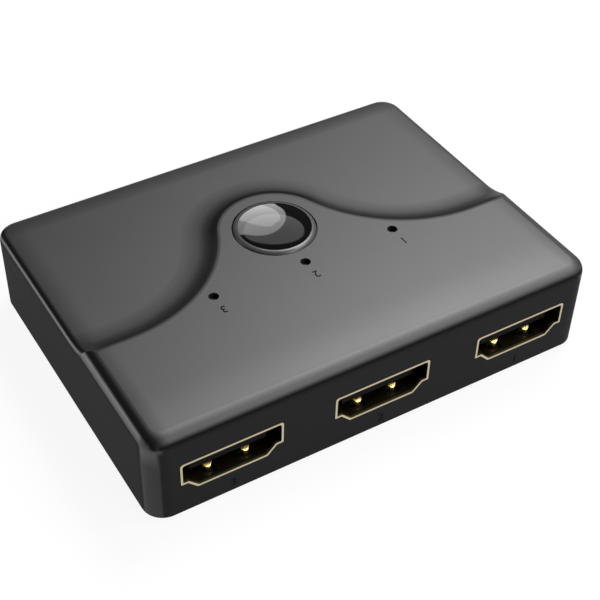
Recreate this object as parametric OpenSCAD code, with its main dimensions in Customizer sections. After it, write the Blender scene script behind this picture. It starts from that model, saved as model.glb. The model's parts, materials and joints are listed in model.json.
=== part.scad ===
// HDMI switch box: three input sockets in the front wall, one output socket in the rear wall,
// a select button on the crest of the wave, and three light holes in front of it.
// Millimetres. Z is up, the inputs face -Y, and the feet stand on Z = 0 under the middle of the case.

/* [Case] */
// Width of the case, side to side
case_w = 67.6; // [61:0.2:80]
// Depth of the case, input face to output face
case_d = 49.8; // [45:0.2:60]
// Height of the side wall under the rear area of the top
back_h = 12.5; // [12:0.1:16]
// Height of the front deck above the rear area
step_h = 1.4; // [0.8:0.1:2]
// Plan radius of the four upright corners
corner_r = 3; // [2.4:0.1:4]
// Rounding of the deck's outer edge
deck_edge_r = 1.9; // [1.2:0.1:2.2]
// Rounding of the rear area's outer edge
back_edge_r = 1.1; // [0.8:0.1:1.4]
// Rounding of the top of the step
step_edge_r = 2.55; // [1.7:0.05:3.4]
// Hollow radius at the foot of the step
step_cove_r = 9.35; // [5:0.05:12]
// Thickness of the side walls
wall_t = 1.8; // [1.6:0.1:2.2]
// Thickness of the top skin
skin_t = 1.6; // [1.3:0.1:1.8]
// Width of the ledge inside the walls that the base plate seats on
ledge_w = 0.6; // [0.4:0.1:0.8]
// Gap round the base plate and round its tongue
base_gap = 0.1; // [0.05:0.05:0.2]

/* [Wave] */
// Radius of the crest round the button
crest_r = 8.9; // [8:0.1:10]
// Centre of the crest, behind the middle of the case
crest_y = 3.2; // [2:0.1:4]
// Trough centres, out from the middle of the case
trough_x = 27; // [25.2:0.12:28.8]

/* [Base plate, screws and feet] */
// Thickness of the base plate
base_t = 1.6; // [1.4:0.1:1.8]
// Diameter of a rubber foot
foot_d = 8; // [6:0.5:9]
// Height that the feet hold the case off the table
foot_stand = 0.8; // [0.5:0.1:2]
// Depth of the recess that a foot is glued into
foot_recess = 0.6; // [0.4:0.1:0.8]
// Foot centre, in from the side of the case
foot_inset_x = 6.8; // [6.5:0.1:9]
// Foot centre, in from the front and rear of the case
foot_inset_y = 5.9; // [5.9:0.1:7]
// Diameter of a screw boss in the cover
boss_d = 5.6; // [4.6:0.1:6]
// Gap between the back of an input's shell and a screw boss
boss_back = 0.7; // [0.4:0.1:2]
// Diameter of a cover screw's shaft
screw_d = 1.9; // [1.6:0.1:2.2]
// Length of a cover screw under its head
screw_len = 7; // [5:0.5:8]
// Diameter of a cover screw's head
screw_head_d = 4; // [3.4:0.1:4.2]
// Height of a cover screw's head
screw_head_h = 0.9; // [0.7:0.1:1]

/* [Board] */
// Thickness of the main board
board_t = 1.2; // [1:0.1:1.3]
// Gap between the board and the walls
board_gap = 1; // [0.5:0.1:1.5]
// Diameter of the posts that clamp the board
post_d = 3; // [2.4:0.1:4]
// Diameter of the two pins that place the board
pin_d = 1.8; // [1.4:0.1:2]

/* [Sockets] */
// Width of a socket's mouth
mouth_w = 14; // [13.9:0.05:14.3]
// Height of a socket's mouth
mouth_h = 4.5; // [4.45:0.05:4.7]
// Straight side of the mouth above its shoulder
mouth_side = 3.1; // [2.8:0.05:3.2]
// Width of the mouth's shoulder
shoulder_w = 0.8; // [0.7:0.05:1]
// Width of the mouth's floor
floor_w = 9.7; // [9:0.1:10.4]
// Softening of the mouth's two top corners
top_soft = 0.45; // [0.2:0.05:0.7]
// Thickness of the plated sheet of the shell
shell_t = 0.3; // [0.25:0.05:0.35]
// Length of the shell from its mouth
shell_len = 11.2; // [10.6:0.1:11.6]
// Centre of an outer input, in from the side of the case
socket_inset = 11.5; // [11:0.1:12.5]
// Height of the sockets' centres above the table
socket_z = 6.95; // [6.8:0.05:7.6]
// Gap between a shell and the wall round it
socket_gap = 0.12; // [0.1:0.02:0.2]
// Width of the tongue in the mouth
tongue_w = 11; // [10.6:0.1:11.6]
// Thickness of the tongue
tongue_t = 1.1; // [0.9:0.05:1.2]
// Distance from the mouth to the tip of the tongue
tongue_back = 1.3; // [1.1:0.05:2]
// Length of the moulded block that carries the tongue
block_len = 3.6; // [3:0.1:4.5]
// Distance between contacts in one row
contact_pitch = 1; // [0.9:0.02:1]
// Width of a contact
contact_w = 0.3; // [0.25:0.05:0.4]
// Thickness of a contact
contact_t = 0.12; // [0.1:0.02:0.2]
// Distance of a spring finger from the middle of the mouth
finger_x = 2.7; // [2:0.1:3]
// Width of a spring finger
finger_w = 1.3; // [1:0.1:1.8]
// Height that a spring finger stands into the mouth
finger_rise = 1; // [0.6:0.05:1.1]

/* [Button] */
// Diameter of the button
button_d = 11.9; // [10:0.1:12.4]
// Button centre, behind the centre of the crest
button_shift = 0.1; // [0:0.1:0.6]
// Gap round the button in its hole
button_gap = 0.1; // [0.08:0.02:0.2]
// Width of the quarter-round ring
ring_w = 0.7; // [0.5:0.05:0.85]
// Height of the ring's inner edge above the deck
ring_proud = 0.35; // [0.3:0.05:0.5]
// Rise of the lens from its edge to its middle
lens_rise = 0.7; // [0.4:0.05:1]
// Width of the flange that keeps the button in the case
flange_w = 0.85; // [0.5:0.05:1.2]
// Thickness of the flange
flange_t = 1; // [0.8:0.05:1.05]
// Diameter of the stem that presses the switch
stem_d = 3.2; // [2.4:0.1:3.4]

/* [Tact switch] */
// Side of the switch's square base
tact_w = 6; // [5.6:0.1:6.4]
// Height of the switch's base
tact_h = 3; // [2.8:0.1:3.4]
// Height of the plunger's top above the board
plunger_h = 5; // [4.4:0.1:5.6]
// Diameter of the plunger
plunger_d = 3.4; // [3:0.1:3.6]
// Rise of the snap dome
dome_rise = 0.5; // [0.4:0.05:0.6]

/* [Lights] */
// Distance between the light holes
light_pitch = 14.2; // [12:0.1:16]
// Light holes, behind the line of the step at the sides
light_shift = 0.8; // [0.4:0.1:2]
// Diameter of a light hole
light_hole_d = 1.45; // [1.2:0.05:1.8]
// Diameter of a light pipe
pipe_d = 2.2; // [2:0.1:2.6]
// Depth of a light pipe's tip under the deck
pipe_drop = 0.7; // [0.3:0.05:1]

/* [Hidden] */
$fn = 96;
// Small gap between pieces that slide together or seat on one another
fit = 0.05;
// Overlap of shapes that are one piece of plastic
bite = 0.4;
// Distance that a cut runs past a face
past = 1;
// A length past every side of the case
far = 2*case_w;

// Levels
wall_bottom = foot_stand;
base_top = wall_bottom + base_t;
back_top = wall_bottom + back_h;
deck_top = back_top + step_h;
back_under = back_top - skin_t;
deck_under = deck_top - skin_t;
shell_h = mouth_h + 2*shell_t;
board_top = socket_z - shell_h/2;
board_bottom = board_top - board_t;

// Step between the deck and the rear area: a rounded edge that runs into a hollow
step_angle = acos(1 - step_h/(step_edge_r + step_cove_r));
edge_run = step_edge_r*sin(step_angle);
cove_run = step_cove_r*sin(step_angle);
bend_z = deck_top - step_edge_r*(1 - cos(step_angle));
step_low = back_top - 2*step_h;
tail_run = 2;
step_tail = cove_run + tail_run;

// Wave line: a crest arc, two trough arcs that it runs into, and straight ends. The line of centres
// rises 5 in 12, so its length is 13 in 12
trough_y = crest_y + trough_x*5/12;
trough_r = trough_x*13/12 - crest_r;
wave_y = trough_y - trough_r;

// Inside of the walls, and the rebate for the base plate
inner_w = case_w - 2*wall_t;
inner_d = case_d - 2*wall_t;
inner_r = corner_r - wall_t;
lip_t = wall_t - ledge_w;

// Screws
screw_play = 0.6;
head_sink = 0.1;
base_boss_h = 1.5;
pilot_spare = 0.6;
boss_x = case_w/2 - wall_t - boss_d/2 + bite;
boss_y = case_d/2 - shell_len - boss_back - boss_d/2;
pilot_d = screw_d + 2*fit;
screw_hole_d = screw_d + screw_play;
head_hole_d = screw_head_d + screw_play;
head_hole_top = wall_bottom + screw_head_h + head_sink;
base_boss_d = 2*(case_w/2 - wall_t - boss_x - base_gap);
boss_bottom = base_top + base_boss_h;
pilot_len = screw_len + pilot_spare;

// Board
board_w = inner_w - 2*board_gap;
board_d = inner_d - 2*board_gap;
notch_gap = 0.5;
notch_d = boss_d + 2*notch_gap;
side_post_inset = 6;
side_post_x = board_w/2 - side_post_inset;
side_post_y = 1;
rear_post_x = 16;
rear_post_inset = 4.2;
rear_post_y = board_d/2 - rear_post_inset;
post_foot = 0.5;
posts = [[-side_post_x, side_post_y], [side_post_x, side_post_y],
         [-rear_post_x, rear_post_y], [rear_post_x, rear_post_y]];
pins = [posts[0], posts[3]];

// Socket, seen from its mouth: X across, Y up, centre of the mouth at 0, 0
socket_pitch = case_w/2 - socket_inset;
mouth_top = mouth_h/2;
shoulder_z = mouth_top - mouth_side;
mouth_soft = 0.15;
mouth_right = [[floor_w/2, -mouth_h/2], [mouth_w/2 - shoulder_w, shoulder_z],
               [mouth_w/2, shoulder_z], [mouth_w/2, mouth_top]];
mouth_left = [for (i = [len(mouth_right) - 1:-1:0]) [-mouth_right[i].x, mouth_right[i].y]];
mouth_corners = concat(mouth_right, mouth_left);
block_start = shell_len - block_len;
tongue_z = 0.15;
leg_w = 1.2;
front_leg = 4;
rear_leg = 1.7;
leg_depths = [front_leg, shell_len - rear_leg];
leg_out = 0.4;
leg_gap = 0.15;
finger_root = 5.6;
finger_peak = 2.25;
finger_curl = 53;
finger_nose = finger_peak - finger_rise*sin(finger_curl) + finger_w/2;
finger_slot = 0.3;
contact_start = tongue_back + 0.3;
top_tail = shell_len + 1.1;
low_tail = shell_len + 0.5;

// Button and tact switch
button_y = crest_y + button_shift;
flange_d = button_d + 2*flange_w;
flange_top = deck_under - button_gap;
flange_bottom = flange_top - flange_t;
cap_sink = 0.7;
cap_seat = deck_top - cap_sink;
lens_r = button_d/2 - ring_w - fit;
lens_sink = 0.05;
lens_edge = deck_top + ring_proud - lens_sink;
lens_ball_r = (pow(lens_r, 2) + pow(lens_rise, 2))/(2*lens_rise);
plate_t = 0.3;
well_wall = 0.6;
well_d = tact_w - 2*well_wall;
well_floor_t = 1;
well_floor = board_top + well_floor_t;
plate_bottom = board_top + tact_h;
plunger_top = board_top + plunger_h;
dome_gap = 0.3;
dome_r = well_d/2 - dome_gap;
dome_t = 0.1;
dome_ball_r = (pow(dome_r, 2) + pow(dome_rise, 2))/(2*dome_rise);
plunger_lip_w = 0.4;
plunger_lip_t = 0.7;
plunger_lip_d = plunger_d + 2*plunger_lip_w;
nub_d = plunger_d/2;
tact_leg_w = 0.7;
tact_leg_t = 0.25;
tact_leg_x = tact_w/2 + tact_leg_t/2;
tact_leg_inset = 0.8;
tact_leg_y = tact_w/2 - tact_leg_inset;

// Lights
light_y = wave_y + light_shift;
lights = [for (k = [1, 0, -1]) [k*light_pitch, light_y]];
pipe_wall = 1;
pipe_boss_d = pipe_d + 2*pipe_wall;
pipe_boss_len = 2.7;
pipe_boss_bottom = back_under - pipe_boss_len;
light_w = 2;
light_d = 1.25;
light_h = 0.8;
pipe_gap = 0.15;
pipe_bottom = board_top + light_h + pipe_gap;
pipe_shoulder = deck_under - fit;

// Parts on the board: centres and body sizes
chip_pos = [-13, 5];
chip_size = [10, 10, 1.4];
regulator_pos = [13, 5];
regulator_size = [6.5, 3.5, 1.6];
surge_size = [2.5, 1, 0.6];
surge_shift = 1.6;
surge_gap = 2;
surge_back = top_tail + surge_gap;
capacitor_size = [2, 1.25, 1.2];
resistor_size = [1.6, 0.8, 0.5];

// Outline helpers

function unit(v) = v/norm(v);
function side_of(a, b) = let (u = unit(b - a)) [u.y, -u.x];
function mitre(n1, n2) = (n1 + n2)/(1 + n1*n2);

// Corners of an outline moved outwards by d; the outline runs anticlockwise
function outset(pts, d) = let (n = len(pts))
    [for (i = [0:n - 1]) let (p = pts[i], before = pts[(i + n - 1) % n], after = pts[(i + 1) % n])
        p + d*mitre(side_of(before, p), side_of(p, after))];

// The same outline with each corner drawn as a short curve that starts r before it, or r_top where the
// corner is above the middle
function soften(pts, r, r_top, steps = 4) = let (n = len(pts))
    [for (i = [0:n - 1])
        let (p = pts[i], run = p.y > 0 ? r_top : r,
             u = run*unit(pts[(i + n - 1) % n] - p), v = run*unit(pts[(i + 1) % n] - p))
        for (k = [0:steps]) let (t = k/steps) p + u*pow(1 - t, 2) + v*pow(t, 2)];

module mouth_outline(grow) polygon(soften(outset(mouth_corners, grow), mouth_soft, top_soft));

// A flat outline swept along Y or X, with its own Y axis upright
module along_y(start, len) translate([0, start + len, 0]) rotate([90, 0, 0]) linear_extrude(len) children();
module along_x(start, len) translate([start, 0, 0]) rotate([90, 0, 90]) linear_extrude(len) children();

module round_rect(w, d, r) {
    square([w, d - 2*r], center = true);
    square([w - 2*r, d], center = true);
    for (x = [-1, 1], y = [-1, 1])
        translate([x*(w/2 - r), y*(d/2 - r)]) circle(r);
}

module plate(w, d, r, low, high) translate([0, 0, low]) linear_extrude(high - low) round_rect(w, d, r);

module four_ways(x, y) for (sx = [-1, 1], sy = [-1, 1]) translate([sx*x, sy*y, 0]) children();

module drum(d, low, high) translate([0, 0, low]) cylinder(d = d, h = high - low);

// Case outside

// Upright section of a box with its two top edges rounded
module crown_section(w, h, r) {
    translate([-w/2, 0]) square([w, h - r]);
    translate([-w/2 + r, 0]) square([w - 2*r, h]);
    for (s = [-1, 1]) translate([s*(w/2 - r), h - r]) circle(r);
}

module soft_box(h, r) translate([0, 0, wall_bottom]) {
    straight_w = case_w - 2*corner_r;
    straight_d = case_d - 2*corner_r;
    along_y(-straight_d/2, straight_d) crown_section(case_w, h, r);
    along_x(-straight_w/2, straight_w) crown_section(case_d, h, r);
    four_ways(straight_w/2, straight_d/2) rotate_extrude() intersection() {
        crown_section(2*corner_r, h, r);
        square([corner_r, h]);
    }
}

// Section of the step: X = 0 on the wave line, the deck on the minus side, a hollow that runs out
// into the rear area on the plus side
module step_section(reach, tail) difference() {
    union() {
        polygon([[-reach, step_low], [-edge_run, step_low], [-edge_run, deck_top], [-reach, deck_top]]);
        intersection() {
            translate([-edge_run, deck_top - step_edge_r]) circle(step_edge_r);
            translate([-edge_run, step_low]) square([edge_run + step_edge_r, deck_top - step_low]);
        }
        polygon([[-edge_run, step_low], [tail, step_low], [tail, back_top], [cove_run, back_top],
                 [0, bend_z], [-edge_run, deck_top - step_edge_r]]);
    }
    translate([cove_run, back_top + step_cove_r]) circle(step_cove_r);
}

// The plan on one side of the lines from the crest's centre to the troughs' centres, out to Y = end_y
module centre_side(end_y)
    polygon([[0, crest_y], [trough_x, trough_y], [trough_x, end_y],
             [-trough_x, end_y], [-trough_x, trough_y]]);

module crest() intersection() {
    translate([0, crest_y, 0]) rotate_extrude() intersection() {
        translate([crest_r, 0]) step_section(crest_r + past, step_tail);
        square([far, far]);
    }
    linear_extrude(far) centre_side(far);
}

module trough_bowl() translate([trough_x, trough_y, 0]) rotate_extrude() difference() {
    translate([0, step_low]) square([trough_r + edge_run, far]);
    translate([trough_r, 0]) mirror([1, 0]) step_section(edge_run + past, trough_r);
}

module troughs() difference() {
    translate([0, 0, step_low]) linear_extrude(deck_top - step_low)
        centre_side(-case_d);
    trough_bowl();
    mirror([1, 0, 0]) trough_bowl();
}

// The last stretch before the side of the case, where the step turns down over the edge: a round-rimmed
// disc for the top of the step, and a round-rimmed cut for the hollow
module step_end() {
    r = back_edge_r;
    difference() {
        along_x(0, r)
            polygon([[-case_d, step_low], [cove_run, step_low], [cove_run, back_top], [0, bend_z],
                     [-edge_run, deck_top - step_edge_r], [-edge_run, deck_top], [-case_d, deck_top]]);
        translate([0, cove_run, back_top + step_cove_r]) rotate([0, 90, 0]) rotate_extrude() difference() {
            square([step_cove_r + r, 2*r]);
            translate([step_cove_r + r, 0]) circle(r);
        }
    }
    translate([0, -edge_run, deck_top - step_edge_r]) intersection() {
        rotate([0, 90, 0]) rotate_extrude() {
            square([step_edge_r - r, r]);
            intersection() {
                translate([step_edge_r - r, 0]) circle(r);
                square([step_edge_r, r]);
            }
        }
        translate([0, 0, -step_edge_r]) cube([r, step_edge_r, 2*step_edge_r]);
    }
}

module deck() {
    end_x = case_w/2 - back_edge_r;
    crest();
    troughs();
    for (s = [0, 1]) mirror([s, 0, 0]) translate([0, wave_y, 0]) {
        along_x(trough_x, end_x - trough_x) step_section(case_d, step_tail);
        translate([end_x, 0, 0]) step_end();
    }
}

module case_outside() {
    plate(case_w, case_d, corner_r, wall_bottom, step_low + bite);
    intersection() {
        soft_box(back_h, back_edge_r);
        translate([-far/2, wave_y - 2*step_edge_r, step_low]) cube(far);
    }
    intersection() {
        soft_box(back_h + step_h, deck_edge_r);
        deck();
    }
}

// Places

function input_x(k) = (2 - k)*socket_pitch;

module at_input(k) translate([input_x(k), -case_d/2, socket_z]) children();
module at_output() translate([0, case_d/2, socket_z]) rotate([0, 0, 180]) children();
module at_sockets() {
    for (k = [1:3]) at_input(k) children();
    at_output() children();
}
module at_button() translate([0, button_y, 0]) children();
module at_each(places) for (p = places) translate([p.x, p.y, 0]) children();

// Case

// Hole in a wall for a shell, from outside the wall to inside it
module shell_hole() along_y(-past, wall_t + 2*past) mouth_outline(shell_t + socket_gap);

// Outline of the slot under the output socket, from the level low up to the shell's shoulder
module slot_outline(gap, low) {
    slot_w = mouth_w + 2*(shell_t + socket_gap);
    slot_top = shoulder_z - shell_t - socket_gap - gap;
    slot_low = low - socket_z;
    translate([-slot_w/2 + gap, slot_low]) square([slot_w - 2*gap, slot_top - slot_low]);
}

module case_inside() {
    pocket_back = wave_y - edge_run - skin_t;
    plate(inner_w, inner_d, inner_r, -past, back_under);
    plate(case_w - 2*lip_t, case_d - 2*lip_t, corner_r - lip_t, -past, base_top);
    intersection() {
        plate(inner_w, inner_d, inner_r, back_under - past, deck_under);
        translate([-far/2, pocket_back - far, 0]) cube(far);
    }
}

module top_cover() color([0.09, 0.09, 0.095]) difference() {
    union() {
        difference() {
            case_outside();
            case_inside();
        }
        for (s = [-1, 1]) translate([0, s*boss_y, 0]) for (x = [-boss_x, boss_x]) translate([x, 0, 0])
            drum(boss_d, boss_bottom, (s < 0 ? deck_under : back_under) + bite);
        at_each(posts) drum(post_d, board_top + fit, back_under + bite);
        at_each(lights) drum(pipe_boss_d, pipe_boss_bottom, back_under + bite);
    }
    at_sockets() shell_hole();
    at_output() along_y(-past, wall_t + 2*past) slot_outline(0, wall_bottom - past);
    four_ways(boss_x, boss_y) drum(pilot_d, boss_bottom - past, boss_bottom + pilot_len);
    at_each(lights) {
        drum(pipe_d + 2*fit, pipe_boss_bottom - past, deck_under);
        drum(light_hole_d, deck_under - past, deck_top + past);
    }
    at_button() {
        drum(button_d + 2*button_gap, deck_under - past, deck_top + past);
        drum(flange_d + 3*button_gap, back_under - past, deck_under);
    }
}

module base_plate() color([0.08, 0.08, 0.085]) difference() {
    union() {
        inset = lip_t + base_gap;
        plate(case_w - 2*inset, case_d - 2*inset, corner_r - inset, wall_bottom, base_top);
        four_ways(boss_x, boss_y) drum(base_boss_d, wall_bottom, boss_bottom);
        at_each(posts) drum(post_d + 2*post_foot, wall_bottom, board_bottom);
        at_each(pins) drum(pin_d, wall_bottom, board_top - fit);
        at_output() along_y(0, wall_t) difference() {
            slot_outline(base_gap, wall_bottom);
            mouth_outline(shell_t + socket_gap);
        }
    }
    four_ways(boss_x, boss_y) {
        drum(head_hole_d, wall_bottom - past, head_hole_top);
        drum(screw_hole_d, wall_bottom, boss_bottom + past);
    }
    four_ways(case_w/2 - foot_inset_x, case_d/2 - foot_inset_y)
        drum(foot_d + 4*fit, wall_bottom - past, wall_bottom + foot_recess);
}

module cover_screws() color([0.5, 0.5, 0.52]) four_ways(boss_x, boss_y) difference() {
    head_bottom = head_hole_top - screw_head_h;
    cross_w = screw_head_d/6;
    cross_len = screw_head_d*0.6;
    union() {
        drum(screw_head_d, head_bottom, head_hole_top);
        drum(screw_d, head_bottom, head_hole_top + screw_len);
    }
    for (a = [0, 90]) rotate([0, 0, a]) translate([-cross_len/2, -cross_w/2, head_bottom - past])
        cube([cross_len, cross_w, past + screw_head_h/2]);
}

// A glued rubber foot with a softened rim
module foot(sx, sy) color([0.13, 0.13, 0.13])
    translate([sx*(case_w/2 - foot_inset_x), sy*(case_d/2 - foot_inset_y), 0]) rotate_extrude() {
        rim_r = foot_stand/2;
        translate([0, rim_r]) square([foot_d/2, foot_stand + foot_recess - rim_r]);
        square([foot_d/2 - rim_r, foot_stand]);
        translate([foot_d/2 - rim_r, rim_r]) circle(rim_r);
    }

// Board and what is soldered to it

module main_board() color([0.05, 0.28, 0.14]) difference() {
    translate([-board_w/2, -board_d/2, board_bottom]) cube([board_w, board_d, board_t]);
    four_ways(boss_x, boss_y) drum(notch_d, board_bottom - past, board_top + past);
    four_ways(case_w/2, boss_y) translate([0, 0, board_bottom - past])
        linear_extrude(board_t + 2*past) square([2*(case_w/2 - boss_x), notch_d], center = true);
    at_each(pins) drum(pin_d + 4*fit, board_bottom - past, board_top + past);
    at_sockets() shell_legs(leg_gap);
    at_button() tact_leg_set(leg_gap);
}

module switch_chip() color([0.12, 0.12, 0.13]) translate([chip_pos.x, chip_pos.y, board_top]) {
    lead_w = 0.35;
    lead_len = 1;
    lead_pitch = 0.9;
    leads = 10;
    stand = 0.15;
    translate([-chip_size.x/2, -chip_size.y/2, stand])
        cube([chip_size.x, chip_size.y, chip_size.z - stand]);
    for (a = [0:90:270]) rotate([0, 0, a]) for (i = [0:leads - 1])
        translate([(i - (leads - 1)/2)*lead_pitch - lead_w/2, chip_size.y/2 - bite, 0]) {
            translate([0, bite + lead_len/2, 0]) cube([lead_w, lead_len/2, stand]);
            cube([lead_w, bite + lead_len/2, chip_size.z/2]);
        }
}

module regulator() color([0.12, 0.12, 0.13]) translate([regulator_pos.x, regulator_pos.y, board_top]) {
    tab_w = 3;
    lead_w = 0.7;
    lead_len = 1.7;
    lead_t = 0.3;
    lead_pitch = 2.3;
    translate([-regulator_size.x/2, -regulator_size.y/2, 0]) cube(regulator_size);
    translate([-tab_w/2, 0, 0]) cube([tab_w, regulator_size.y/2 + lead_len, lead_t]);
    for (i = [-1:1]) translate([i*lead_pitch - lead_w/2, -regulator_size.y/2 - lead_len, 0])
        cube([lead_w, lead_len + bite, lead_t]);
}

// A small part with a metal cap at each end
module end_capped(size) {
    cap = size.x/5;
    trim = 0.05;
    translate([-size.x/2, -size.y/2, 0]) cube([cap, size.y, size.z]);
    translate([size.x/2 - cap, -size.y/2, 0]) cube([cap, size.y, size.z]);
    translate([-size.x/2 + trim, -size.y/2 + trim, 0])
        cube([size.x - 2*trim, size.y - 2*trim, size.z - trim]);
}

module surge_arrays() color([0.12, 0.12, 0.13]) at_sockets() for (s = [-1, 1])
    translate([s*surge_shift - surge_size.x/2, surge_back, board_top - socket_z]) cube(surge_size);

module capacitors() color([0.62, 0.5, 0.36]) translate([0, 0, board_top]) {
    side_gap = 1.6;
    lead_gap = 1;
    for (s = [-1, 1]) translate([regulator_pos.x + s*(regulator_size.x/2 + side_gap), regulator_pos.y, 0])
        rotate([0, 0, 90]) end_capped(capacitor_size);
    for (s = [-1, 1])
        translate([chip_pos.x + s*chip_size.x/4, chip_pos.y - chip_size.y/2 - side_gap - lead_gap, 0])
            end_capped(capacitor_size);
}

module resistors() color([0.15, 0.15, 0.16]) translate([0, 0, board_top]) at_each(lights)
    translate([light_w/2 + resistor_size.x, 0, 0]) end_capped(resistor_size);

// Sockets, in their own frame: mouth at Y = 0, depth along +Y, centre of the mouth at Z = 0

module shell_legs(grow) for (s = [-1, 1], y = leg_depths)
    translate([s*(mouth_w + shell_t)/2, y, (board_bottom - leg_out - socket_z)/2])
        cube([shell_t + 2*grow, leg_w + 2*grow, socket_z + leg_out - board_bottom], center = true);

// A tongue of the shell's own sheet that rises into the mouth and turns down at a round nose; drawn on
// the floor of the mouth
module spring_finger() translate([0, 0, -mouth_h/2]) intersection() {
    along_x(-finger_w/2, finger_w) {
        polygon([[finger_root + bite, 0], [finger_root, 0], [finger_peak, finger_rise],
                 [finger_peak, finger_rise - shell_t], [finger_root, -shell_t],
                 [finger_root + bite, -shell_t]]);
        translate([finger_peak, 0]) intersection() {
            difference() {
                circle(finger_rise);
                circle(finger_rise - shell_t);
            }
            translate([-finger_rise, 0]) square(finger_rise);
        }
    }
    translate([0, 0, -mouth_h]) linear_extrude(2*mouth_h) {
        translate([0, finger_nose]) circle(finger_w/2);
        translate([-finger_w/2, finger_nose]) square([finger_w, shell_len]);
    }
}

module at_fingers() for (m = [0, 1], s = [-1, 1]) mirror([0, 0, m]) translate([s*finger_x, 0, 0]) children();

module socket_shell() color([0.74, 0.7, 0.56]) {
    window_start = finger_peak - finger_rise - finger_slot;
    difference() {
        union() {
            along_y(0, shell_len) mouth_outline(shell_t);
            shell_legs(0);
        }
        along_y(-past, shell_len + 2*past) mouth_outline(0);
        at_fingers() translate([-finger_w/2 - finger_slot, window_start, -shell_h/2 - past])
            cube([finger_w + 2*finger_slot, finger_root - window_start, past + shell_t + bite]);
    }
    at_fingers() spring_finger();
}

module socket_insulator() color([0.06, 0.06, 0.06]) difference() {
    union() {
        along_y(block_start, block_len) mouth_outline(-fit);
        translate([-tongue_w/2, tongue_back, tongue_z - tongue_t/2])
            cube([tongue_w, block_start - tongue_back + bite, tongue_t]);
    }
    for (m = [0, 1]) translate([0, 0, tongue_z]) mirror([0, 0, m])
        translate([-tongue_w/2, block_start, tongue_t/2]) cube([tongue_w, block_len + past, contact_t + fit]);
}

// One contact: a strip along the tongue and a tail down to the board
module contact(x, z, tail) translate([x - contact_w/2, 0, z]) {
    drop = z + shell_h/2;
    translate([0, contact_start, 0]) cube([contact_w, tail - contact_start, contact_t]);
    translate([0, tail - contact_t, -drop]) cube([contact_w, contact_t, drop + contact_t]);
}

module socket_contacts() color([0.83, 0.68, 0.34]) {
    upper = 10;
    lower = 9;
    for (i = [0:upper - 1])
        contact((i - (upper - 1)/2)*contact_pitch, tongue_z + tongue_t/2, top_tail);
    for (i = [0:lower - 1])
        contact((i - (lower - 1)/2)*contact_pitch, tongue_z - tongue_t/2 - contact_t, low_tail);
}

// Lights

module light(k) color([0.92, 0.92, 0.88]) translate([lights[k - 1].x, lights[k - 1].y, board_top]) {
    cup_h = light_h*0.6;
    rim = 0.2;
    translate([-light_w/2, -light_d/2, 0]) cube([light_w, light_d, cup_h]);
    translate([-light_w/2 + rim, -light_d/2 + rim, 0]) cube([light_w - 2*rim, light_d - 2*rim, light_h]);
}

module light_pipe(k) color([0.85, 0.88, 0.9, 0.6]) translate([lights[k - 1].x, lights[k - 1].y, 0]) {
    drum(pipe_d, pipe_bottom, pipe_shoulder);
    drum(light_hole_d - 4*fit, pipe_bottom, deck_top - pipe_drop);
}

// Tact switch

module tact_base() color([0.1, 0.1, 0.1]) at_button() difference() {
    translate([-tact_w/2, -tact_w/2, board_top]) cube([tact_w, tact_w, tact_h]);
    drum(well_d, well_floor, plate_bottom + past);
}

module tact_plate() color([0.7, 0.7, 0.7]) at_button() difference() {
    translate([-tact_w/2, -tact_w/2, plate_bottom]) cube([tact_w, tact_w, plate_t]);
    drum(plunger_d + 6*fit, plate_bottom - past, plate_bottom + plate_t + past);
}

module tact_leg_set(grow) for (sx = [-1, 1], sy = [-1, 1])
    translate([sx*tact_leg_x, sy*tact_leg_y, (well_floor + board_bottom - leg_out)/2])
        cube([tact_leg_t + 2*grow, tact_leg_w + 2*grow, well_floor - board_bottom + leg_out], center = true);

module tact_legs() color([0.75, 0.75, 0.75]) at_button() tact_leg_set(0);

module snap_dome() color([0.8, 0.8, 0.8]) at_button() translate([0, 0, well_floor]) intersection() {
    translate([0, 0, dome_rise - dome_ball_r]) difference() {
        sphere(dome_ball_r);
        sphere(dome_ball_r - dome_t);
    }
    drum(2*dome_r + past, 0, dome_rise + past);
}

module tact_plunger() color([0.85, 0.82, 0.75]) at_button() {
    lip_top = plate_bottom - fit;
    lip_bottom = lip_top - plunger_lip_t;
    drum(nub_d, well_floor + dome_rise + fit, lip_top);
    drum(plunger_lip_d, lip_bottom, lip_top);
    drum(plunger_d, lip_bottom, plunger_top);
}

// Button

module button_cap() color([0.1, 0.1, 0.1]) at_button() {
    drum(stem_d, plunger_top + fit, cap_seat);
    drum(flange_d, flange_bottom, flange_top);
    drum(button_d, flange_bottom, cap_seat);
}

module button_ring() color([0.45, 0.45, 0.46]) at_button() rotate_extrude()
    translate([button_d/2 - ring_w, 0]) {
        round_z = deck_top + ring_proud - ring_w;
        translate([0, cap_seat]) square([ring_w, round_z - cap_seat]);
        translate([0, round_z]) intersection() {
            circle(ring_w);
            square(ring_w);
        }
    }

module button_lens() color([0.04, 0.04, 0.045]) at_button() rotate_extrude() {
    translate([0, cap_seat]) square([lens_r, lens_edge - cap_seat]);
    intersection() {
        translate([0, lens_edge + lens_rise - lens_ball_r]) circle(lens_ball_r);
        translate([0, lens_edge]) square([lens_r, lens_rise]);
    }
}

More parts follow.
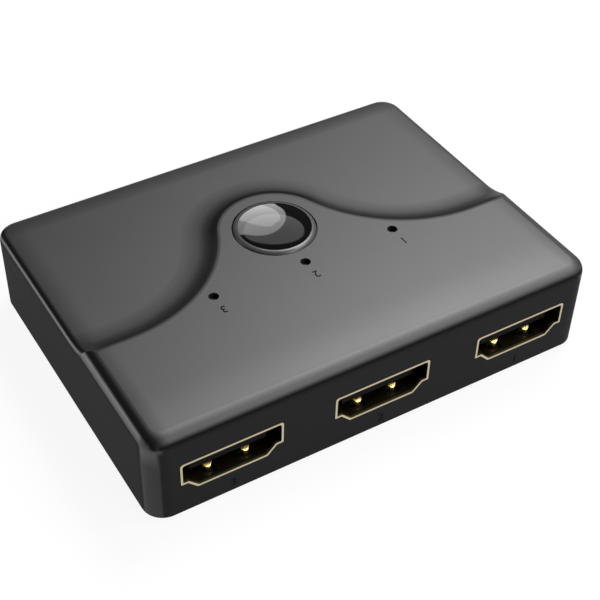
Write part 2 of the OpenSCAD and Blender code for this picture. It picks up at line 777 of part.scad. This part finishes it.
top_cover();
base_plate();
cover_screws();
foot(-1, -1);  // foot_1
foot(1, -1);  // foot_2
foot(1, 1);  // foot_3
foot(-1, 1);  // foot_4
main_board();
switch_chip();
regulator();
surge_arrays();
capacitors();
resistors();
at_input(1) socket_shell();  // input_1_shell
at_input(1) socket_insulator();  // input_1_insulator
at_input(1) socket_contacts();  // input_1_contacts
at_input(2) socket_shell();  // input_2_shell
at_input(2) socket_insulator();  // input_2_insulator
at_input(2) socket_contacts();  // input_2_contacts
at_input(3) socket_shell();  // input_3_shell
at_input(3) socket_insulator();  // input_3_insulator
at_input(3) socket_contacts();  // input_3_contacts
at_output() socket_shell();  // output_shell
at_output() socket_insulator();  // output_insulator
at_output() socket_contacts();  // output_contacts
light(1);  // light_1
light(2);  // light_2
light(3);  // light_3
light_pipe(1);  // light_pipe_1
light_pipe(2);  // light_pipe_2
light_pipe(3);  // light_pipe_3
tact_base();
tact_plate();
tact_legs();
snap_dome();
tact_plunger();
button_cap();
button_ring();
button_lens();
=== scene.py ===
import json
from math import cos, pi, radians, sin

import bpy
from mathutils import Matrix, Vector


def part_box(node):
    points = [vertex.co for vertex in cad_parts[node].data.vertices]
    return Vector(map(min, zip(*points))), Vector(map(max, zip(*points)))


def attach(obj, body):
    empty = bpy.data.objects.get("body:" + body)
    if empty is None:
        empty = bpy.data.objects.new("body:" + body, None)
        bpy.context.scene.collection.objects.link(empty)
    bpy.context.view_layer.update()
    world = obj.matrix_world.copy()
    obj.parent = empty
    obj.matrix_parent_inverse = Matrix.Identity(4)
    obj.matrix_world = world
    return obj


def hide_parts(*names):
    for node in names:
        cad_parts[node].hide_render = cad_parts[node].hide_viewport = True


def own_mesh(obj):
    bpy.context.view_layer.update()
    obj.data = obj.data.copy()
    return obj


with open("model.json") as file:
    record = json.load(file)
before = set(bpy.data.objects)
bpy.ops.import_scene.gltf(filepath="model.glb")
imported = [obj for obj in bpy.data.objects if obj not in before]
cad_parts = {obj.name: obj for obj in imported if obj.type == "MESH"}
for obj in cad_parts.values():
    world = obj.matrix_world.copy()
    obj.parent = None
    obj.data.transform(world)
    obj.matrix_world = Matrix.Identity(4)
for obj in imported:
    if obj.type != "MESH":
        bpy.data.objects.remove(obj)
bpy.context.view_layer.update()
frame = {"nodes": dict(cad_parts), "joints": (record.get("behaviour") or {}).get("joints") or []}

# Camera
# The view of the photograph: over the front left corner, a little more than 40 degrees above the table.
# The lens axis meets the picture left of its middle, so the picture is shifted to the right.
mm = 0.001
picture_px = 600
focal_px = 1300.4
axis_px = 258.8
sensor_mm = 36
near_limit = 10*mm
view_turn = radians(-29.72)
view_lift = radians(42.32)
view_distance = 189.67*mm
aim = Vector((0, 0, 0.8*mm))
aim_right = -3.84*mm
aim_up = 2.08*mm

to_camera = Vector((sin(view_turn)*cos(view_lift), -cos(view_turn)*cos(view_lift), sin(view_lift)))
view_right = Vector((cos(view_turn), sin(view_turn), 0))
view_up = to_camera.cross(view_right)
camera_place = aim + view_right*aim_right + view_up*aim_up + to_camera*view_distance
camera_axes = Matrix((view_right, view_up, to_camera)).transposed().to_4x4()

optics = bpy.data.cameras.new("camera")
optics.sensor_width = sensor_mm
optics.lens = focal_px*sensor_mm/picture_px
optics.shift_x = (picture_px/2 - axis_px)/picture_px
optics.clip_start = near_limit
camera = bpy.data.objects.new("camera", optics)
camera.matrix_world = Matrix.Translation(camera_place) @ camera_axes
bpy.context.scene.collection.objects.link(camera)
bpy.context.scene.camera = camera

# Top cover
# One black ABS moulding: four walls, and a top whose front deck ends in a wave over a hollow. The mould is
# spark-eroded, so the top is satin, while the walls, the hollow and the rolled edges are duller, and the
# hollow and the rolled edges carry a painted shade of near black. By shading alone, the top is softly
# crowned towards its edges and the foot of the hollow runs out gently.


class Socket:
    """A shader socket, with the operators that add Math nodes."""

    def __init__(self, finish, socket):
        self.finish = finish
        self.socket = socket

    def math(self, operation, *values):
        inputs = dict(enumerate(values))
        return self.finish.node("ShaderNodeMath", {"operation": operation}, inputs)["Value"]

    def at_least(self, other):
        """The larger of this value and the other."""
        return self.math("MAXIMUM", self, other)

    def __add__(self, other):
        return self.math("ADD", self, other)

    def __radd__(self, other):
        return self.math("ADD", other, self)

    def __sub__(self, other):
        return self.math("SUBTRACT", self, other)

    def __rsub__(self, other):
        return self.math("SUBTRACT", other, self)

    def __mul__(self, other):
        return self.math("MULTIPLY", self, other)

    def __rmul__(self, other):
        return self.math("MULTIPLY", other, self)

    def __gt__(self, other):
        return self.math("GREATER_THAN", self, other)

    def __lt__(self, other):
        return self.math("LESS_THAN", self, other)

    def __abs__(self):
        return self.math("ABSOLUTE", self)


class Finish:
    """A material with a Principled shader, and the nodes that feed it."""

    def __init__(self, name, **constants):
        self.material = bpy.data.materials.new(name)
        self.material.use_nodes = True
        self.tree = self.material.node_tree
        self.shader = self.tree.nodes["Principled BSDF"]
        for socket, value in constants.items():
            self.shader.inputs[socket.replace("_", " ")].default_value = value
        self.place = self.node("ShaderNodeTexCoord")["Object"]

    def node(self, kind, settings=None, inputs=None):
        made = self.tree.nodes.new(kind)
        for name, value in (settings or {}).items():
            setattr(made, name, value)
        for key, value in (inputs or {}).items():
            if isinstance(value, Socket):
                self.tree.links.new(value.socket, made.inputs[key])
            else:
                made.inputs[key].default_value = value
        return {output.name: Socket(self, output) for output in made.outputs if output.enabled}

    def feed(self, socket, value):
        self.tree.links.new(value.socket, self.shader.inputs[socket])

    def axes(self, vector=None):
        """X, Y and Z of a vector, or of the place on the piece where none is given."""
        parts = self.node("ShaderNodeSeparateXYZ", None, {"Vector": vector or self.place})
        return parts["X"], parts["Y"], parts["Z"]

    def noise(self, size, detail=3.0):
        inputs = {"Vector": self.place, "Scale": 1/size, "Detail": detail}
        return self.node("ShaderNodeTexNoise", None, inputs)["Fac"]

    def fade(self, value, start, end):
        """0 where value is at start, 1 where it is at end, and smooth between them."""
        inputs = {"Value": value, "From Min": start, "From Max": end}
        return self.node("ShaderNodeMapRange", {"interpolation_type": "SMOOTHSTEP"}, inputs)["Result"]

    def mix(self, mask, low, high):
        """The colour low where mask is 0, and high where it is 1."""
        low, high = [colour if isinstance(colour, Socket) else (*colour, 1) for colour in (low, high)]
        return self.node("ShaderNodeMix", {"data_type": "RGBA"}, {0: mask, 6: low, 7: high})["Result"]

    def rough(self, mask, low, high):
        """The roughness low where mask is 0, and high where it is 1."""
        self.feed("Roughness", low + mask*(high - low))

    def mottle(self, size, dark, light, rough, detail=3.0):
        """Noise of this size in the colour, from dark to light, and in the roughness."""
        speck = self.noise(size, detail)
        self.feed("Base Color", self.mix(speck, dark, light))
        self.rough(speck, *rough)
        return speck

    def bump(self, height, depth, strength=1.0, normal=None):
        inputs = {"Height": height, "Distance": depth, "Strength": strength}
        if normal:
            inputs["Normal"] = normal
        self.feed("Normal", self.node("ShaderNodeBump", None, inputs)["Normal"])

    def show(self, mask, other):
        """Show another shader in place of the main one where mask is 1."""
        own = Socket(self, self.shader.outputs[0])
        blend = self.node("ShaderNodeMixShader", None, {0: mask, 1: own, 2: other})["Shader"]
        self.tree.links.new(blend.socket, self.tree.nodes["Material Output"].inputs["Surface"])

    def on(self, *nodes):
        for name in nodes:
            frame["nodes"][name].data.materials.clear()
            frame["nodes"][name].data.materials.append(self.material)


def grey(level):
    return level, level, level


cover_low, cover_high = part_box("top_cover")
cover_finish = Finish("cover_plastic", Specular_IOR_Level=0.9)
cover_x, cover_y, cover_z = cover_finish.axes()
from_side = cover_high.x - abs(cover_x)
from_front = cover_y - cover_low.y
from_rear = cover_high.y - cover_y
below_deck = cover_high.z - cover_z

# The satin black of the top, a little rougher along the front edge. A band is the stretch in which a mask
# goes from nothing to full.
plastic_dark = grey(0.009)
plastic_light = (0.012, 0.012, 0.0124)
cloud_size = 11*mm
front_edge_band = (2.4*mm, 1.4*mm)
satin = 0.45
cloud_rougher = 0.03
front_edge_rougher = 0.08
cover_cloud = cover_finish.noise(cloud_size)
cover_colour = cover_finish.mix(cover_cloud, plastic_dark, plastic_light)
front_edge = cover_finish.fade(from_front, *front_edge_band)
cover_finish.feed("Base Color", cover_colour)
cover_finish.feed("Roughness", satin + cover_cloud*cloud_rougher + front_edge*front_edge_rougher)

# The walls are found by their distance from the outside, and the corners between them by their depth.
wall_band = (0.2*mm, 0.03*mm)
front_wall_band = (0.6*mm, 0.2*mm)
front_face_band = (0.36*mm, 0.06*mm)
under_roll_band = (1.5*mm, 2.2*mm)
corner_band = (2*mm, 5*mm)
wall_dull = 0.95
left_corner_dull = 0.55
right_corner_dull = 0.9
side_walls = cover_finish.fade(from_side, *wall_band)
rear_wall = cover_finish.fade(from_rear, *wall_band)
front_wall = cover_finish.fade(from_front, *front_wall_band)*cover_finish.fade(below_deck, *under_roll_band)
front_face = cover_finish.fade(from_front, *front_face_band)
corners = cover_finish.fade(below_deck, *corner_band)
corner_dull = left_corner_dull + (cover_x > 0)*(right_corner_dull - left_corner_dull)
walls = side_walls.at_least(rear_wall).at_least(front_wall).at_least(front_face)*wall_dull
walls = walls.at_least(corners*corner_dull)

# The hollow is found by its depth under the deck, away from the outer edges, and its dull finish and
# painted shade are strongest by the button.
inside_sides_band = (1*mm, 3*mm)
behind_front_band = (2*mm, 3*mm)
hollow_rise_band = (0.95*mm, 0.12*mm)
hollow_brim_band = (0.01*mm, 0.06*mm)
round_button_band = (4*mm, 8*mm)
hollow_dull_and_painted_shade = 0.68
round_button_dull_and_painted_shade = 0.98
inside_sides = cover_finish.fade(from_side, *inside_sides_band)
behind_front = cover_finish.fade(from_front, *behind_front_band)
hollow_rise = cover_finish.fade(below_deck, *hollow_rise_band)
hollow_brim = cover_finish.fade(below_deck, *hollow_brim_band)
hollow = hollow_rise*hollow_brim*inside_sides*behind_front
round_button = cover_finish.fade(cover_y, *round_button_band)
hollow_share = hollow_dull_and_painted_shade + round_button*(round_button_dull_and_painted_shade - hollow_dull_and_painted_shade)

# The crown drops the shading towards the edges, and the foot of the hollow is eased towards level.
crown_w = 3.9*mm
crown_r = 22*mm
front_crown_w = 8*mm
front_crown_r = 150*mm
foot_band = (0.5*mm, 1.2*mm)
before_rear_band = (2*mm, 4*mm)
foot_ease = 0.6
straight_up = (0, 0, 1)
grain_size = 0.16*mm
grain_depth = 0.003*mm


def crown_drop(inwards, width, radius):
    """How far a crown of this radius drops within its width from an edge."""
    past = (width - inwards).at_least(0)
    return past*past*(1/(2*radius))


crown = crown_drop(from_side, crown_w, crown_r) + crown_drop(from_rear, crown_w, crown_r)
crown = crown + crown_drop(from_front, front_crown_w, front_crown_r)
before_rear = cover_finish.fade(from_rear, *before_rear_band)
foot = cover_finish.fade(below_deck, *foot_band)*before_rear*inside_sides*behind_front
facing = cover_finish.node("ShaderNodeNewGeometry")["Normal"]
eased = cover_finish.node("ShaderNodeMix", {"data_type": "VECTOR"}, {
    0: foot*foot_ease, 4: facing, 5: straight_up})["Result"]
eased = cover_finish.node("ShaderNodeVectorMath", {"operation": "NORMALIZE"}, {0: eased})["Vector"]
cover_grain = cover_finish.noise(grain_size, detail=2.0)
cover_finish.bump(cover_grain*grain_depth - crown, depth=1.0, normal=eased)

# The rolled edges are found by the way they face: upward is 1 on the flat top and 0 on a wall, and sideways
# is below 0 on the left.
above_wall_slope = (0.1, 0.35)
front_slope = (0.78, 0.4)
front_corner_slope = (-0.6, -0.3)
left_slope = (-0.1, -0.35)
left_highlight_slope = (-0.78, -0.58)
right_slope = (0.15, 0.8)
sideways, _, upward = cover_finish.axes(facing)
front_roll = cover_finish.fade(upward, *front_slope)*cover_finish.fade(sideways, *front_corner_slope)
left_roll = cover_finish.fade(sideways, *left_slope)*cover_finish.fade(sideways, *left_highlight_slope)
right_roll = cover_finish.fade(sideways, *right_slope)
side_roll = left_roll.at_least(right_roll)*(1 - inside_sides)
roll = side_roll.at_least(front_roll*(1 - behind_front))*cover_finish.fade(upward, *above_wall_slope)

# Painted shade: the hollow and the rolled edges take a near-black colour in the dull shader.
painted_shade_black = grey(0.004)
dull_colour_with_painted_shade = cover_finish.mix(hollow.at_least(roll), cover_colour, painted_shade_black)
dull_with_painted_shade = cover_finish.node("ShaderNodeBsdfPrincipled", None, {
    "Base Color": dull_colour_with_painted_shade, "Roughness": 0.8, "Specular IOR Level": 0.1})["BSDF"]
cover_finish.show(walls.at_least(hollow*hollow_share).at_least(roll), dull_with_painted_shade)
cover_finish.on("top_cover")

# Printed numbers
# Plain numbers for the three inputs, printed in black ink: one in front of each light hole, with its top to
# the front, and one on the wall under each socket. The ink stands two hundredths of a millimetre proud.
number_height = 1.3*mm
ink_t = 0.02*mm
weld_gap = 0.001*mm
deck_number_drop = 2.8*mm
deck_number_turn = (0, 0, pi)
wall_number_z = 2.25*mm
wall_number_turn = (pi/2, 0, 0)
ink_finish = Finish("ink_black", Specular_IOR_Level=0.05)
ink_finish.mottle(size=0.1*mm, dark=grey(0.002), light=grey(0.006), rough=(0.75, 0.95))


def middle(node):
    low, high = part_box(node)
    return (low + high)/2


def printed_number(name, digit, place, turn):
    bpy.ops.object.select_all(action="DESELECT")
    bpy.ops.object.text_add()
    bpy.context.object.data.body = str(digit)
    bpy.context.object.data.align_x = "CENTER"
    bpy.context.object.data.align_y = "CENTER"
    bpy.ops.object.convert(target="MESH")
    number = bpy.context.object
    number.name = name
    number.scale = Vector((1, 1, 1))*number_height/number.dimensions.y
    number.rotation_euler = turn
    number.location = place
    bpy.ops.object.transform_apply(location=True, rotation=True, scale=True)
    bpy.ops.object.mode_set(mode="EDIT")
    bpy.ops.mesh.select_all(action="SELECT")
    bpy.ops.mesh.remove_doubles(threshold=weld_gap)
    bpy.ops.object.mode_set(mode="OBJECT")
    sheet = number.modifiers.new("ink", "SOLIDIFY")
    sheet.thickness = 2*ink_t
    sheet.offset = 0
    bpy.ops.object.modifier_apply(modifier="ink")
    number.data.materials.append(ink_finish.material)
    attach(number, "case")


for digit in (1, 2, 3):
    hole = middle(f"light_pipe_{digit}")
    deck_place = (hole.x, hole.y - deck_number_drop, cover_high.z)
    printed_number(f"deck_number_{digit}", digit, deck_place, deck_number_turn)
    wall_place = (middle(f"input_{digit}_shell").x, cover_low.y, wall_number_z)
    printed_number(f"wall_number_{digit}", digit, wall_place, wall_number_turn)

# Light pipes
# Smoked clear plastic rods, pushed up into bosses under the deck. Their tips lie a little below it and are
# dark while the lamps under them are off.
pipe_finish = Finish("light_guide", Specular_IOR_Level=0.3)
pipe_finish.mottle(size=0.3*mm, dark=grey(0.004), light=grey(0.008), rough=(0.3, 0.45))
pipe_finish.on("light_pipe_1", "light_pipe_2", "light_pipe_3")

# Button cap
# The black moulded plunger that the ring and the lens are glued to. Its flange keeps it under the deck, and
# only its edge shows in the gap round the ring.
cap_finish = Finish("button_plastic", Specular_IOR_Level=0.35)
cap_finish.mottle(size=0.2*mm, dark=grey(0.01), light=grey(0.016), rough=(0.45, 0.65))
cap_finish.on("button_cap")

# Button ring
# A quarter-round ring beside the lens, moulded in dark grey plastic with a satin face. It is glued to the
# cap, and its top stands a little above the deck.
ring_finish = Finish("ring_grey", Specular_IOR_Level=0.5)
ring_finish.mottle(size=0.2*mm, dark=grey(0.05), light=(0.07, 0.07, 0.071), rough=(0.3, 0.42))
ring_finish.on("button_ring")

# Button lens
# The domed lens inside the ring, moulded in black acrylic and polished like glass. It is glued to the cap,
# and rises above the ring.
lens_finish = Finish("lens_gloss", Specular_IOR_Level=0.5)
lens_finish.mottle(
    size=3*mm, dark=(0.004, 0.004, 0.0045), light=(0.006, 0.006, 0.0065), rough=(0.03, 0.06))
lens_finish.on("button_lens")

# Main board
# A glass-epoxy board with green solder mask. Copper tracks run under the mask in narrow lanes, and the
# weave of the glass shows faintly.
track_pitch = 0.8*mm
track_run = 7.0
track_gap = 0.12
track_depth = 0.02*mm
board_finish = Finish("board", Specular_IOR_Level=0.5)
board_lane = board_finish.node("ShaderNodeTexBrick", {"offset": 0.5}, {
    "Vector": board_finish.place, "Scale": 1/track_pitch, "Mortar Size": track_gap,
    "Brick Width": track_run, "Row Height": 1.0})["Fac"]
board_weave = board_finish.noise(size=0.35*mm, detail=2.0)
board_finish.feed("Base Color", board_finish.mix(board_lane, (0.003, 0.022, 0.01), (0.005, 0.036, 0.016)))
board_finish.rough(board_weave, low=0.3, high=0.45)
board_finish.bump(board_lane, track_depth, strength=0.4)
board_finish.on("main_board")

# Parts on the board
# The switching chip and the regulator are black moulded epoxy with tinned leads, and the surge arrays plain
# epoxy. The capacitors are tan ceramic and the resistors black glaze. All are soldered down.
epoxy = (0.016, 0.016, 0.017)
epoxy_rough = 0.42
epoxy_grain_rougher = 0.2
epoxy_grain_depth = 0.01*mm
tin = (0.62, 0.62, 0.6)
tin_smoother = 0.15
chip_half = 5.01*mm
regulator_half_w = 3.26*mm
regulator_half_d = 1.76*mm


def leaded_part(name, node, half_w, half_d):
    """Epoxy inside the body's plan, tin on the leads that reach past it."""
    body = middle(node)
    finish = Finish(name)
    x, y, _ = finish.axes()
    grain = finish.noise(size=0.12*mm, detail=2.0)
    lead = (abs(x - body.x) > half_w).at_least(abs(y - body.y) > half_d)
    finish.feed("Base Color", finish.mix(lead, epoxy, tin))
    finish.feed("Metallic", lead)
    finish.feed("Roughness", epoxy_rough + grain*epoxy_grain_rougher - lead*tin_smoother)
    finish.bump(grain, epoxy_grain_depth, strength=0.5)
    finish.on(node)


leaded_part("chip_epoxy", "switch_chip", chip_half, chip_half)
leaded_part("regulator_epoxy", "regulator", regulator_half_w, regulator_half_d)

small_finish = Finish("small_epoxy")
small_finish.mottle(
    size=0.1*mm, dark=(0.012, 0.012, 0.013), light=(0.026, 0.026, 0.027), rough=(0.45, 0.65), detail=2.0)
small_finish.on("surge_arrays")

ceramic_finish = Finish("ceramic")
ceramic_finish.mottle(size=0.2*mm, dark=(0.3, 0.19, 0.1), light=(0.42, 0.3, 0.18), rough=(0.4, 0.65))
ceramic_finish.on("capacitors")

glaze_finish = Finish("resistor_glaze")
glaze_finish.mottle(
    size=0.15*mm, dark=(0.012, 0.012, 0.014), light=(0.03, 0.03, 0.033), rough=(0.22, 0.42))
glaze_finish.on("resistors")

# Socket shells
# Thin steel sheet, stamped, folded and soldered to the board, with a pale champagne plating, and a painted
# shade that darkens it behind the rim. The spring fingers inside the mouth show a deeper gold.
sockets = ("input_1", "input_2", "input_3", "output")
socket_pitch = middle("input_1_shell").x
socket_z = middle("input_1_insulator").z
mouth_half_h = 2.23*mm
finger_reach = 4*mm
rim_band = (0.15*mm, 0.5*mm)
shell_finish = Finish("shell_plating", Metallic=1.0)
shell_x, shell_y, shell_z = shell_finish.axes()
shell_cloud = shell_finish.noise(size=1.6*mm)
shell_scratch = shell_finish.noise(size=0.12*mm, detail=2.0)
across = shell_x.math("WRAP", shell_x, socket_pitch/2, -socket_pitch/2)
finger = (abs(shell_z - socket_z) < mouth_half_h)*(abs(across) < finger_reach)
# Painted shade: the plating turns dark behind the rim, inside the mouth.
painted_shade_behind_rim = shell_finish.fade(cover_high.y - abs(shell_y), *rim_band)
rim_plating = shell_finish.mix(shell_cloud, (0.5, 0.44, 0.29), (0.58, 0.51, 0.35))
painted_shade_plating = shell_finish.mix(shell_cloud, (0.1, 0.08, 0.04), (0.14, 0.11, 0.06))
plating = shell_finish.mix(painted_shade_behind_rim, rim_plating, painted_shade_plating)
gold = shell_finish.mix(shell_cloud, (0.86, 0.6, 0.18), (0.95, 0.72, 0.28))
shell_finish.feed("Base Color", shell_finish.mix(finger, plating, gold))
shell_finish.rough(shell_scratch, low=0.26, high=0.42)
shell_finish.on(*[f"{name}_shell" for name in sockets])

# Socket insulators
# Black glass-filled nylon: a block that fills the back of the shell, and the flat tongue that carries the
# contacts.
insulator_finish = Finish("insulator", Specular_IOR_Level=0.12)
insulator_grain = insulator_finish.mottle(
    size=0.2*mm, dark=grey(0.002), light=grey(0.005), rough=(0.65, 0.85))
insulator_finish.bump(insulator_grain, depth=0.01*mm, strength=0.5)
insulator_finish.on(*[f"{name}_insulator" for name in sockets])

# Socket contacts
# Nineteen gold-plated strips in each socket, ten on top of the tongue and nine under it. They are pressed
# into the insulator and bent down to the board.
contact_finish = Finish("contact_gold", Metallic=1.0)
contact_finish.mottle(size=0.3*mm, dark=(0.55, 0.38, 0.12), light=(0.72, 0.53, 0.2), rough=(0.2, 0.35))
contact_finish.on(*[f"{name}_contacts" for name in sockets])

# Lights
# Three small status lamps, soldered to the board under the pipes: white moulded cups, each with a yellow
# window in its top.
board_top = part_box("main_board")[1].z
lamp_cup_h = 0.48*mm
lamp_finish = Finish("light_body")
_, _, lamp_z = lamp_finish.axes()
lamp_window = lamp_z > board_top + lamp_cup_h
lamp_finish.feed("Base Color", lamp_finish.mix(lamp_window, (0.78, 0.78, 0.74), (0.74, 0.6, 0.16)))
lamp_finish.rough(lamp_finish.noise(size=0.2*mm), low=0.35, high=0.55)
lamp_finish.on("light_1", "light_2", "light_3")

# Tact switch
# The switch under the button, soldered to the board: black base, stamped steel plate and legs, a sprung
# steel dome, and a pale moulded plunger that the button's stem presses. The dome is cut from a ball.
small_finish.on("tact_base")

steel_finish = Finish("switch_steel", Metallic=1.0)
steel_finish.mottle(
    size=0.15*mm, dark=(0.5, 0.5, 0.49), light=(0.66, 0.66, 0.64), rough=(0.25, 0.45), detail=2.0)
steel_finish.on("tact_plate", "tact_legs", "snap_dome")

dome_t = 0.1*mm
dome_segments = 64
dome_rings = 72
dome_low, dome_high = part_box("snap_dome")
dome_middle = (dome_low + dome_high)/2
dome_r = (dome_high.x - dome_low.x)/2
dome_rise = dome_high.z - dome_low.z
ball_r = (dome_r**2 + dome_rise**2)/(2*dome_rise)
ball_place = (dome_middle.x, dome_middle.y, dome_high.z - ball_r)
press = next(joint for joint in frame["joints"] if joint["name"] == "button_press")["range_m"][1]
bpy.ops.object.select_all(action="DESELECT")
bpy.ops.mesh.primitive_uv_sphere_add(
    segments=dome_segments, ring_count=dome_rings, radius=ball_r, location=ball_place)
dome = bpy.context.object
dome.name = "sprung_dome"
bpy.ops.object.transform_apply(location=True, rotation=True, scale=True)
bpy.ops.object.mode_set(mode="EDIT")
bpy.ops.mesh.select_all(action="SELECT")
bpy.ops.mesh.bisect(plane_co=(0, 0, dome_low.z), plane_no=(0, 0, 1), clear_inner=True)
bpy.ops.object.mode_set(mode="OBJECT")
sheet = dome.modifiers.new("sheet", "SOLIDIFY")
sheet.thickness = dome_t
sheet.offset = -1
bpy.ops.object.modifier_apply(modifier="sheet")
bpy.ops.object.shade_smooth()
dome.data.materials.append(steel_finish.material)
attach(dome, "case")
1 - press/dome_rise
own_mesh(dome)
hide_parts("snap_dome")

plunger_finish = Finish("plunger_plastic")
plunger_finish.mottle(
    size=0.25*mm, dark=(0.6, 0.54, 0.42), light=(0.68, 0.63, 0.52), rough=(0.45, 0.65))
plunger_finish.on("tact_plunger")

# Base plate
# The black moulded tray that closes the case from below: a plate with screw bosses, board posts and a
# tongue under the output socket. It is the same ABS as the cover, with a coarser spark grain.
base_grain_size = 0.25*mm
base_grain_depth = 0.012*mm
base_finish = Finish("base_plastic", Specular_IOR_Level=0.12)
base_finish.mottle(size=9*mm, dark=plastic_dark, light=plastic_light, rough=(0.72, 0.86))
base_finish.bump(base_finish.noise(base_grain_size, detail=2.0), base_grain_depth, strength=0.6)
base_finish.on("base_plate")

# Cover screws
# Four turned, zinc-plated screws, driven up through the base plate into the cover's bosses. The faces of
# their heads are bright, and the cross recesses and shafts carry a darker painted shade.
screw_face_t = 0.05*mm
screw_low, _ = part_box("cover_screws")
screw_finish = Finish("screw_steel", Metallic=1.0)
_, _, screw_z = screw_finish.axes()
past_face = screw_z > screw_low.z + screw_face_t
# Painted shade: everything above the face of the head is coloured darker.
screw_finish.feed("Base Color", screw_finish.mix(past_face, (0.52, 0.52, 0.5), (0.33, 0.33, 0.32)))
screw_finish.rough(screw_finish.noise(size=0.12*mm, detail=1.0), low=0.26, high=0.42)
screw_finish.on("cover_screws")

# Feet
# Four rubber discs glued into shallow recesses in the base plate. Die-cut rubber is dull, a little dusty,
# and shows fine specks of filler.
foot_finish = Finish("foot_rubber", Specular_IOR_Level=0.25)
foot_speck = foot_finish.noise(size=0.18*mm, detail=4.0)
foot_dust = foot_finish.noise(size=2.5*mm)
foot_finish.feed("Base Color", foot_finish.mix(foot_dust, grey(0.018), (0.04, 0.039, 0.037)))
foot_finish.rough(foot_speck, low=0.72, high=0.92)
foot_finish.bump(foot_speck, depth=0.02*mm)
foot_finish.on("foot_1", "foot_2", "foot_3", "foot_4")

# Studio
# A plain white floor in a dim room. The key hangs high at the right rear, so the top brightens to the front
# right. A fill at the right and a panel in front light the walls and sockets, a low one at the left rear
# draws the left edge, and three more light the lens alone, which the key leaves out.
floor_size = 4.0
floor_white = 0.92
room_grey = 0.04
bpy.ops.object.select_all(action="DESELECT")
bpy.ops.mesh.primitive_plane_add(size=floor_size)
floor = bpy.context.object
floor.name = "floor"
floor_finish = Finish("floor_white", Base_Color=(0.8, 0.8, 0.8, 1), Roughness=0.9, Specular_IOR_Level=0.0)
rays = floor_finish.node("ShaderNodeLightPath")
seen = rays["Is Camera Ray"] + rays["Is Glossy Ray"] + rays["Is Transmission Ray"]
white = floor_finish.node("ShaderNodeEmission", None, {"Strength": 1.0})["Emission"]
floor_finish.show(seen*floor_white, white)
floor.data.materials.append(floor_finish.material)

world = bpy.data.worlds.new("room")
world.use_nodes = True
world.node_tree.nodes["Background"].inputs["Color"].default_value = (*grey(room_grey), 1)
bpy.context.scene.world = world


def panel(name, turn, lift, distance, size, radiance, shape="RECTANGLE", roll=0):
    """A soft light that faces the box; turn is its bearing from straight behind, towards the right."""
    bearing, height = radians(turn), radians(lift)
    away = Vector((sin(bearing)*cos(height), cos(bearing)*cos(height), sin(height)))
    lamp = bpy.data.lights.new(name, "AREA")
    lamp.shape = shape
    lamp.size, lamp.size_y = size
    area = size[0]*size[1]*(pi/4 if shape == "ELLIPSE" else 1)
    lamp.energy = radiance*pi*area
    made = bpy.data.objects.new(name, lamp)
    aimed = away.to_track_quat("Z", "Y").to_matrix().to_4x4() @ Matrix.Rotation(radians(roll), 4, "Z")
    made.matrix_world = Matrix.Translation(away*distance) @ aimed
    made.visible_camera = False
    bpy.context.scene.collection.objects.link(made)
    return made


panel_distance = 0.9
key = panel("key", turn=61, lift=58, distance=panel_distance, size=(0.42, 0.3), radiance=20)
panel("fill", turn=118, lift=50, distance=panel_distance, size=(0.3, 0.45), radiance=9)
panel("front", turn=158, lift=27, distance=panel_distance, size=(0.3, 0.3), radiance=12)
panel("edge", turn=-54, lift=2, distance=panel_distance, size=(0.3, 0.1), radiance=20)

lens_panel_distance = 0.6
lens_only = bpy.data.collections.new("lens_only")
lens_only.objects.link(frame["nodes"]["button_lens"])


def lens_panel(name, turn, lift, size, radiance, roll=0):
    """An oval light that reaches the lens alone."""
    made = panel(name, turn, lift, lens_panel_distance, size, radiance, "ELLIPSE", roll)
    made.light_linking.receiver_collection = lens_only


lens_panel("lens_disc", turn=30, lift=46.8, size=(0.39, 0.41), radiance=1.15)
lens_panel("lens_crescent", turn=18.6, lift=28.5, size=(0.34, 0.59), radiance=2.8, roll=4)
lens_panel("lens_patch", turn=21.7, lift=27, size=(0.2, 0.4), radiance=1.8, roll=14)

not_lens = bpy.data.collections.new("not_lens")
not_lens.objects.link(frame["nodes"]["button_lens"])
not_lens.collection_objects[0].light_linking.link_state = "EXCLUDE"
key.light_linking.receiver_collection = not_lens

bpy.context.scene.view_settings.view_transform = "Standard"
